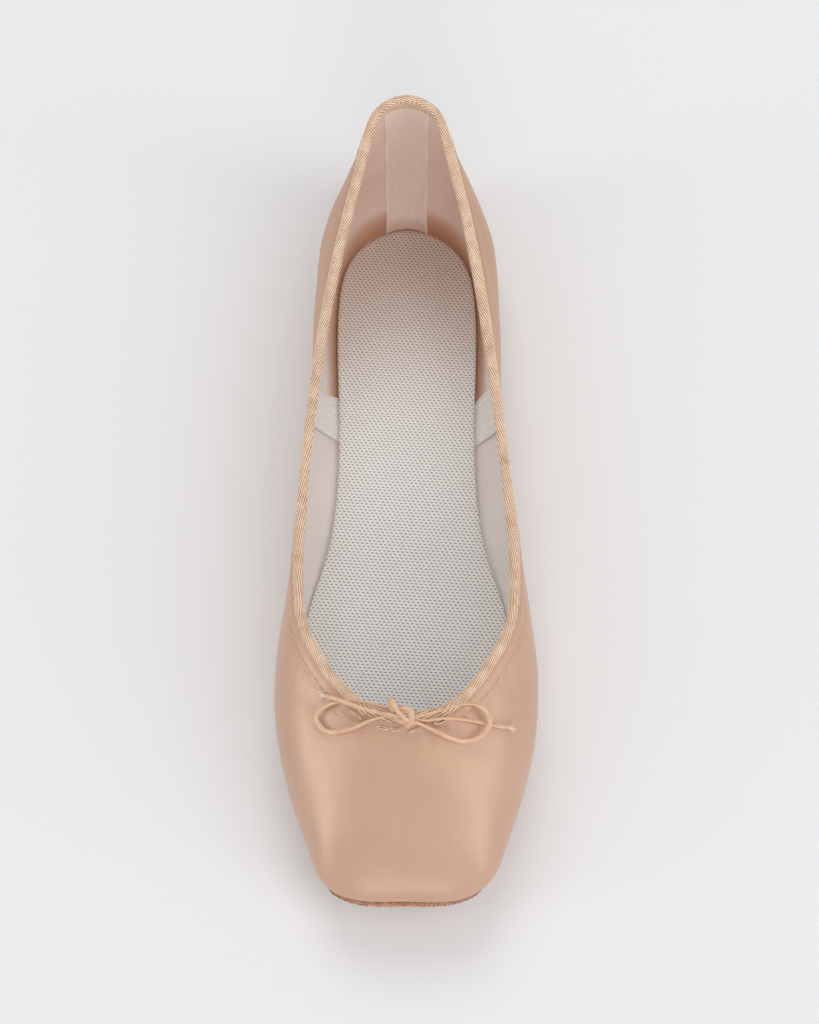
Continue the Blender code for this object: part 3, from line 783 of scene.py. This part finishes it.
# Insole: a loose foam sock covered in an off-white mesh, with rows of small grey holes set
# half a step apart. Its edge is cut clean and rolls over a little.
INSOLE = (  # along and half, as shares of the length and of half the ball
    (0.058, 0.000),
    (0.062, 0.200),
    (0.080, 0.400),
    (0.126, 0.590),
    (0.196, 0.720),
    (0.286, 0.790),
    (0.370, 0.790),
    (0.454, 0.645),
    (0.543, 0.567),
    (0.683, 0.565),
    (0.822, 0.580),
    (0.906, 0.440),
    (0.944, 0.000),
)
INSOLE_THICKNESS = 0.0028
insole_rows = np.array([(half * half_ball, along_y(along)) for along, half in INSOLE])
sock_outline = evenly_round(closed_spline(both_sides(insole_rows, [0]), 40), 240)


def sock_bottom(y):
    """Height of the insole's lower face, just above the upper's floor."""
    return underside(y) + wall_at(y) + GAP


sock_rings = [(0.0030, share, INSOLE_THICKNESS - 0.0001) for share in (0, 0.3, 0.6, 0.85, 1)]
sock_rings += [(0.0014, 1, INSOLE_THICKNESS), (0.0006, 1, INSOLE_THICKNESS - 0.0001)]
sock_rings += [(0.0002, 1, INSOLE_THICKNESS - 0.0004), (0, 1, INSOLE_THICKNESS - 0.0009)]
sock_rings += [(0.0004, 1, INSOLE_THICKNESS - 0.0014), (0.0040, 1, 0)]
sock_rings += [(0.0040, share, 0) for share in (0.6, 0.0)]
sock_points = plate(sock_outline, sock_rings, sock_bottom)

# Mesh over foam: holes 1.43 mm apart in rows 1.0 mm apart, each a short slanting dash. The
# heel's end of it is darker and browner: painted shade from the walls of the heel cup.
mesh_cloth, tree, shader = new_finish("spacer_mesh", "#E3E0DA", 0.8)
solid = solid_place(tree)
rows = axes(tree, stretched(tree, solid, (700, 1000, 1), (0, 0, math.radians(6))))
odd = maths(tree, "FLOORED_MODULO", maths(tree, "FLOOR", rows["Y"]), 2.0)
in_x = maths(tree, "FRACT", maths(tree, "MULTIPLY_ADD", odd, 0.5, rows["X"]))
in_y = maths(tree, "FRACT", rows["Y"])
cell = add(tree, "ShaderNodeCombineXYZ", {0: in_x, 1: in_y}).outputs[0]
centred = add(tree, "ShaderNodeMapping", {"Vector": cell, "Location": (-0.5, -0.5, 0)}).outputs[0]
dash = stretched(tree, centred, (2.9, 4.7, 1), (0, 0, math.radians(-14)))
far = add(tree, "ShaderNodeVectorMath", {0: dash}, operation="LENGTH").outputs["Value"]
hole = rising(tree, far, 0.55, 1.15)
fuzz = noise(tree, solid, 1800.0, 3.0)
dotted = blend(tree, hole, "#8A817D", blend(tree, fuzz, "#E6E3DF", "#FBFAF8"))
# Painted shade: the mesh is multiplied darker and browner towards the heel's end
painted_heel_shade = rising(tree, axes(tree, solid)["Y"], 0.035, 0.100, 0.8)
mesh_with_painted_heel_shade = blend(tree, painted_heel_shade, dotted, "#DECABF", "MULTIPLY")
lay_on(shader, mesh_with_painted_heel_shade, maths(tree, "MULTIPLY_ADD", fuzz, 0.3, hole), 0.5, 0.0002)
sock = new_piece("mesh_insole", bent_sheet(sock_points, plan_places(sock_points)), [mesh_cloth])
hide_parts("insole")


# Platform patch: a thin piece of brown suede, glued over the flat end of the toe and caught
# down round its edge with short dark stitches.
TIP_WIDTH = 0.0424
TIP_HEIGHT = 0.0130
TIP_CENTRE_HEIGHT = 0.0157
TIP_THICKNESS = 0.0010
TIP_GLUE = 0.0006
TIP_SQUARE = 2.6  # 2 is an oval, and more is squarer
TIP_TILT = 0.03
TIP_STEPS = 120
TIP_STITCHES = 44


def surface_finder(piece):
    """Finds a piece's face along a straight line, for what lies on it."""
    corners = [vertex.co.copy() for vertex in piece.data.vertices]
    return BVHTree.FromPolygons(corners, [face.vertices[:] for face in piece.data.polygons])


smooth_toe = surface_finder(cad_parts["upper"])
satin_finder = surface_finder(upper)


def on_platform(angle, ring, stand):
    """A point on the toe's front: by its angle round the patch and its share out from the middle."""
    lean, rise = math.cos(angle), math.sin(angle)
    x = math.copysign(abs(lean) ** (2 / TIP_SQUARE), lean) * TIP_WIDTH / 2 * ring
    z = math.copysign(abs(rise) ** (2 / TIP_SQUARE), rise) * TIP_HEIGHT / 2 * ring
    x, z = x + z * TIP_TILT - 0.0003, TIP_CENTRE_HEIGHT + z - x * TIP_TILT
    hit, normal = satin_finder.ray_cast(Vector((x, -0.2, z)), Vector((0, 1, 0)))[:2]
    if normal.y > 0:
        normal = -normal
    return np.array(hit + normal * stand)


# each ring's share out from the middle, and how far it stands off the satin
tip_rings = [(share, 0.0002) for share in (0.0, 0.5, 0.9)]
tip_rings += [(0.985, 0.0003), (1.0, 0.0008), (0.995, 0.0012), (0.975, 0.00148)]
tip_rings += [(share, TIP_GLUE + TIP_THICKNESS) for share in (0.93, 0.8, 0.6, 0.4, 0.2, 0.0)]
tip_rows = []
for i in range(TIP_STEPS):
    angle = 2 * math.pi * i / TIP_STEPS
    tip_rows.append([on_platform(angle, share, stand) for share, stand in tip_rings])
tip_points = np.array(tip_rows)
tip_places = np.vstack([tip_points, tip_points[:1]])[:, :, [0, 2]]

suede, tree, shader = new_finish("suede", "#BC8B70", 0.9)
nap = noise(tree, solid_place(tree), 1300.0, 4.0)
lay_on(shader, shades(tree, nap, (0.35, "#9C6B52"), (0.7, "#D3A489")), nap, 0.6, 0.0003)
tip = new_piece("suede_patch", bent_sheet(tip_points, tip_places), [suede])
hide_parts("platform_tip")

waxed_thread = new_finish("waxed_thread", "#5E3A28", 0.5)[0]
edge_stitches = new_mesh()
for i in range(TIP_STITCHES):
    angle = 2 * math.pi * (i + 0.12 * math.sin(i * 2.4)) / TIP_STITCHES
    outer = on_platform(angle, 1.0, 0.0011)
    inner = on_platform(angle, 0.955, 0.00160)
    stitch(outer, inner, np.array([0, -1.0, 0.2]), edge_stitches, 0.0003)
patch_stitches = new_piece("patch_stitches", edge_stitches, [waxed_thread])


# Drawstring: a thin elastic cord with flat sides and a smooth braided cover. It comes out of the
# casing under the knot, is tied in a small bow, and its two cut ends have frayed a little.
THROAT_Y = along_y(0.192)

# Each row of these tables, in millimetres: across the shoe, behind the throat, above the satin.
# The left cord comes out of the casing, makes the left loop and ends on the right.
LEFT_CORD = (
    (-0.8, -2.2, 0.3),
    (-1.2, -2.0, 1.4),
    (-2.2, -2.1, 2.2),
    (-4.0, -0.6, 2.3),
    (-7.2, -0.9, 2.1),
    (-10.7, -1.8, 2.1),
    (-13.6, -3.2, 2.2),
    (-17.3, -3.9, 2.0),
    (-20.4, -3.8, 1.3),
    (-22.9, -2.8, 1.1),
    (-24.6, -0.7, 1.2),
    (-25.3, 0.7, 1.3),
    (-24.4, 2.4, 1.6),
    (-22.4, 3.4, 2.1),
    (-20.0, 4.0, 2.2),
    (-17.2, 4.1, 2.2),
    (-14.6, 3.8, 2.2),
    (-10.7, 2.9, 2.3),
    (-7.2, 2.0, 2.4),
    (-4.1, 1.1, 2.6),
    (-1.2, -0.8, 2.8),
    (2.2, -1.4, 2.4),
    (6.0, -1.9, 2.2),
    (9.1, -1.1, 2.2),
    (13.8, -0.9, 2.2),
    (18.3, -1.0, 2.1),
    (21.4, -1.2, 1.2),
    (24.7, -1.3, 1.1),
    (28.4, -1.3, 1.3),
)
RIGHT_CORD = (
    (1.0, -2.2, 0.3),
    (1.4, -1.8, 1.6),
    (2.2, -1.4, 2.8),
    (4.1, -0.8, 3.0),
    (6.7, 0.0, 2.7),
    (10.8, 1.3, 2.5),
    (13.9, 2.6, 2.3),
    (17.2, 3.4, 2.3),
    (20.0, 3.0, 2.6),
    (22.1, 1.6, 3.0),
    (23.0, -0.4, 3.2),
    (22.7, -2.6, 3.1),
    (21.0, -4.6, 2.4),
    (18.2, -6.2, 1.6),
    (14.9, -6.7, 1.5),
    (11.9, -6.1, 1.9),
    (8.3, -4.7, 2.2),
    (5.6, -3.6, 2.2),
    (4.0, -2.9, 2.3),
    (1.8, -2.4, 3.0),
    (-1.2, -1.4, 4.0),
    (-4.1, -1.0, 4.0),
    (-7.2, -0.3, 3.8),
    (-10.7, 0.6, 3.7),
    (-13.5, 1.7, 3.6),
    (-16.5, 3.1, 3.4),
    (-19.5, 4.5, 3.0),
    (-21.5, 5.6, 2.4),
    (-22.9, 6.3, 1.8),
)


def on_vamp(across, back, lift):
    """A point above the satin near the throat: across the shoe, behind the throat, and how high."""
    for short in np.arange(0, 0.006, 0.0003):
        inside = short + (0.0008 if short else 0)
        start = Vector((across, THROAT_Y + back - inside, HEEL_HEIGHT * 2))
        hit, normal = smooth_toe.ray_cast(start, Vector((0, 0, -1)))[:2]
        if hit is not None and hit.z > HEEL_HEIGHT / 2:
            return np.array(hit) + np.array([0, inside, lift / max(0.5, abs(normal.z))])


def open_spline(points, steps):
    """A smooth curve through the points, whose ends run straight on."""
    padded = np.vstack([2 * points[0] - points[1], points, 2 * points[-1] - points[-2]])
    curve = []
    for p0, p1, p2, p3 in zip(padded, padded[1:], padded[2:], padded[3:]):
        curve += [between(p0, p1, p2, p3, t) for t in np.arange(steps) / steps]
    return np.array(curve + [points[-1]])


def bow_run(rows, on_edge):
    """A smooth run of the cord, its tilt (0 flat, 1 on edge) along it, and its narrowing ends."""
    path = open_spline(np.array([on_vamp(*row) for row in np.array(rows) / 1000]), 5)
    for _ in range(6):
        path[1:-1] += 0.25 * (path[:-2] - 2 * path[1:-1] + path[2:])
    shares = np.linspace(0, 1, len(on_edge))
    tilt = np.interp(np.linspace(0, 1, len(path)), shares, on_edge) * math.pi / 2
    step = np.arange(len(path))
    ends = np.clip(np.minimum(step + 1.5, len(path) - step + 0.5) / 5, 0, 1)
    return path, tilt, ends**0.5


braid, tree, shader = new_finish("braided_elastic", "#E2B691", 0.4)
plait = noise(tree, stretched(tree, uv_place(tree), (350, 2600, 1)), 1.0, 2.0)
cover = shades(tree, plait, (0.3, "#CFA17D"), (0.7, "#E8C5A6"))
lay_on(shader, cover, plait, 0.12, 0.0001)

# The knot: the cord comes up from under it, turns over into a small ear and goes down to the
# right, and its other turn arches over that and is pulled in below.
KNOT_HEIGHT = 0.0458  # of the satin under the knot
KNOT_EAR = (
    (-1.8, -2.2, 2.2),
    (-2.9, -0.9, 3.2),
    (-3.8, 0.5, 4.2),
    (-4.3, 1.7, 5.1),
    (-4.3, 2.6, 5.9),
    (-3.9, 2.5, 6.3),
    (-3.4, 1.4, 6.0),
    (-2.6, 0.1, 5.5),
    (-1.5, -1.2, 4.9),
    (-0.1, -2.1, 4.3),
    (1.2, -2.6, 3.4),
    (2.2, -2.7, 2.2),
)
KNOT_ARCH = (
    (-2.8, 0.0, 3.0),
    (-1.9, 0.6, 4.2),
    (-0.8, 0.7, 5.0),
    (0.3, 0.4, 5.5),
    (1.1, -0.3, 5.6),
    (1.4, -1.3, 5.1),
    (1.3, -2.4, 4.3),
    (0.8, -3.2, 3.2),
    (0.0, -3.4, 2.0),
)
KNOT_UNDER = (
    (-2.2, -1.4, 1.6),
    (-1.2, -2.0, 2.4),
    (0.0, -2.2, 2.6),
    (1.2, -2.0, 2.2),
    (2.6, -1.6, 1.6),
)
turns_bm = new_mesh()
for points, lean, broad in (
    (KNOT_EAR, 0.35, 0.0016),
    (KNOT_ARCH, 0.2, 0.0017),
    (KNOT_UNDER, 0.0, 0.0024),
):
    path = open_spline(np.array(points) / 1000 + (0, THROAT_Y, KNOT_HEIGHT), 6)
    tube(path, broad, broad * 0.8, lean, sides=14, bm=turns_bm)
knot = new_piece("bow_knot_turns", turns_bm, [braid])
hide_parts("bow_knot")

FLAT_WIDTH = 0.00145
FLAT_THICKNESS = 0.00085
LEFT_TILT = (1, 1, 0.9, 0.3, 0.0, 0.3, 0.9, 1, 0.7, 0.3, 0.1)
RIGHT_TILT = (1, 1, 0.8, 0.2, 0.0, 0.3, 0.8, 1, 0.7, 0.5, 0.3)
bow_paths = []
for name, rows, on_edge, nodes, pieces in (
    ("drawstring_left_loop", LEFT_CORD, LEFT_TILT, ("bow_loop_left", "bow_tail_right"), [knot]),
    ("drawstring_right_loop", RIGHT_CORD, RIGHT_TILT, ("bow_loop_right", "bow_tail_left"), []),
):
    path, tilt, ends = bow_run(rows, on_edge)
    flat_tube = tube(path, FLAT_WIDTH * ends, FLAT_THICKNESS * ends, tilt, sides=14)
    cord = new_piece(name, flat_tube, [braid])
    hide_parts(*nodes)
    bow_paths.append(path)

# Frayed ends, where the cut braid has opened into a small tuft of pale threads
frayed = new_mesh()
tuft_turns = np.random.default_rng(7)
for path in bow_paths:
    ahead = unit(path[-1] - path[-6])
    for _ in range(60):
        spread = tuft_turns.normal(0, 0.36, 3)
        reach = tuft_turns.uniform(0.0006, 0.0014)
        bends = [ahead * t + spread * (0.25 + t * t) for t in np.linspace(-0.6, 1, 5)]
        tube([path[-1] + bend * reach for bend in bends], 0.00018, 0.00018, sides=5, bm=frayed)
pale_fibre = new_finish("frayed_fibre", "#F0DCC8", 0.8)[0]
tufts = new_piece("frayed_cord_ends", frayed, [pale_fibre])


# Drawstring slits: two short buttonholes in the casing's foot with overcast edges, and the
# small dark pockets between the gathers under the knot.
SLIT_LIFT = 0.0004


def on_satin(across, back):
    """The place on the finished satin near the throat, and the way out of it."""
    start = Vector((across, THROAT_Y + back, HEEL_HEIGHT * 2))
    hit, normal = satin_finder.ray_cast(start, Vector((0, 0, -1)))[:2]
    return np.array(hit), np.array(normal) * (1 if normal.z > 0 else -1)


def pocket(middle, end, width, rim, rims_bm, holes_bm):
    """A slit in the satin from its middle to one end, with a thread rim of the given thickness."""
    centre, out = on_satin(*middle)
    long_way = on_satin(*end)[0] - centre
    long_way -= out * (long_way @ out)
    short_way = np.cross(out, unit(long_way)) * width / 2
    lifted = centre + out * SLIT_LIFT
    angles = np.linspace(0, 2 * math.pi, 25)
    ring = [lifted + long_way * math.cos(a) + short_way * math.sin(a) for a in angles]
    tube(ring, rim, rim, sides=7, bm=rims_bm)
    layers = []
    for share, depth in ((1.0, 0.00002), (0.7, -0.00012), (0.3, -0.0002), (0.0, -0.0002)):
        layers.append([lifted + (point - lifted) * share + out * depth for point in ring[:-1]])
    hole_points = np.array(layers).transpose(1, 0, 2)
    spread = np.zeros((len(hole_points) + 1, 4, 2))
    bent_sheet(hole_points, spread, bm=holes_bm)


rims, holes = new_mesh(), new_mesh()
for middle, end, width, rim in (
    ((0.0093, -0.0014), (0.0112, -0.0007), 0.0008, 0.00045),
    ((-0.0136, 0.0004), (-0.0150, 0.0017), 0.0004, 0.0003),
    ((-0.0066, -0.0030), (-0.0050, -0.0033), 0.0006, 0.00035),
    ((-0.0031, -0.0034), (-0.0017, -0.0036), 0.0005, 0.0003),
    ((0.0024, -0.0035), (0.0044, -0.0031), 0.0005, 0.00035),
):
    pocket(middle, end, width, rim, rims, holes)
overcast = new_piece("slit_stitching", rims, [thread_cotton])
shadowed_cloth = new_finish("shadowed_cotton", "#7A4E38", 0.9)[0]
slits = new_piece("drawstring_slits", holes, [shadowed_cloth])


# Back seam tape: a strip of sheer mesh ribbon laid over the seam inside the heel, stitched down
# along both selvedges, and wrinkled a little by the last.
TAPE_WIDTH = 0.0138

# how far below the collar the floor of the upper is, on each rib
to_floor = below_collar[:, BOTTOM_STEPS - 1]
heel_half = last[:, -1, 1] > 0.05
tape_rows = []
for share in np.linspace(0.05, 1.02, 110):
    ring = on_lining(to_floor * share, 0.00009)[heel_half]
    ring = ring[np.argsort(ring[:, 0])]
    line = []
    for side in np.linspace(-1, 1, 41):
        x = side * TAPE_WIDTH / 2 * (1 + 0.02 * math.sin(share * 19))
        point = at_run(x, ring[:, 0], ring)
        wrinkle = (1 + math.sin(side * 9 + share * 60) * math.sin(share * 34 + side * 3)) * 0.00008
        selvedge = 0.00006 * bell(abs(side) - 0.93, 0.05)
        line.append(point - np.array([0, wrinkle + selvedge, 0]))
    tape_rows.append(line)
tape_points = np.array(tape_rows)

ribbon, tree, shader = new_finish("mesh_ribbon", "#D9C5BC", 0.7)
solid = solid_place(tree)
from_middle = maths(tree, "ABSOLUTE", axes(tree, solid)["X"])
selvedges = rising(tree, from_middle, 0.0058, 0.0070, way="LINEAR")
creping = noise(tree, stretched(tree, solid, (900, 1, 260), (0, math.radians(25), 0)), 1.0, 3.0)
sheer = blend(tree, creping, "#EBD5C8", "#F4E3D8")
lay_on(shader, blend(tree, selvedges, sheer, "#F9ECE3"), creping, 0.7, 0.0006)


def ribbon_piece(name, points, finish, thickness):
    """A ribbon with a real thickness, from the grid of points on its seen side."""
    rows, columns = points.shape[:2]
    spread = np.stack(np.meshgrid(np.arange(columns), np.arange(rows)), axis=2) * 0.0005
    made = new_piece(name, bent_sheet(points, spread, round_rows=False), [finish])
    wall = made.modifiers.new("thickness", "SOLIDIFY")
    wall.thickness = thickness
    wall.offset = 0
    return made


ribbon_piece("back_seam_tape", tape_points, ribbon, 0.00014)


# Arch elastics: a white woven elastic sewn slantwise inside each side of the waist, from the
# collar down under the insole, which pulls the shoe up against the arch.
elastic, tree, shader = new_finish("woven_elastic", "#EEE8E6", 0.65)
ribbing = noise(tree, stretched(tree, solid_place(tree), (300, 1600, 300)), 1.0, 3.0)
white = shades(tree, ribbing, (0, "#ECE6E2"), (1, "#FFFDFA"))
lay_on(shader, white, ribbing, 0.4, 0.0002)

INSOLE_SIDE = 0.0224  # of the insole's edge there, from the middle
BAND_LEAN = 0.445  # forwards, for its height

# each edge lies in a slanting plane: how far back it is at the insole, and its slant outwards
for name, side, *edges in (
    ("arch_elastic_left", -1, (0.0328, 0.68), (0.0484, 0.25)),
    ("arch_elastic_right", 1, (0.0311, 0.81), (0.0470, 1.18)),
):
    band_rows = []
    for share in np.linspace(0.06, 1.35, 60):
        if share > 1:
            ring = on_lining(to_floor + (share - 1) * 0.02, 0.0003)
        else:
            ring = on_lining(to_floor * share, 0.0002 + 0.0002 * math.sin(math.pi * share))
        half = ring[ring[:, 0] * side > 0]
        half = half[np.argsort(half[:, 1])]
        line = []
        for width in np.linspace(0, 1, 41):
            point = at_run(0.030, half[:, 1], half)
            for _ in range(5):
                x, z = abs(point[0]) - INSOLE_SIDE, point[2]
                front, back = (near + slant * x - BAND_LEAN * z for near, slant in edges)
                point = at_run(front + (back - front) * width, half[:, 1], half)
            hem = 0.0004 * bell(width, 0.06) + 0.0002 * bell(1 - width, 0.04)
            gather = 0.0002 * math.sin(width * 34 + 3 * share) * ramp(share, 0.5, 1.0)
            line.append(point - np.array([side * (hem + gather), 0, 0]))
        band_rows.append(line)
    ribbon_piece(name, np.array(band_rows), elastic, 0.0004)
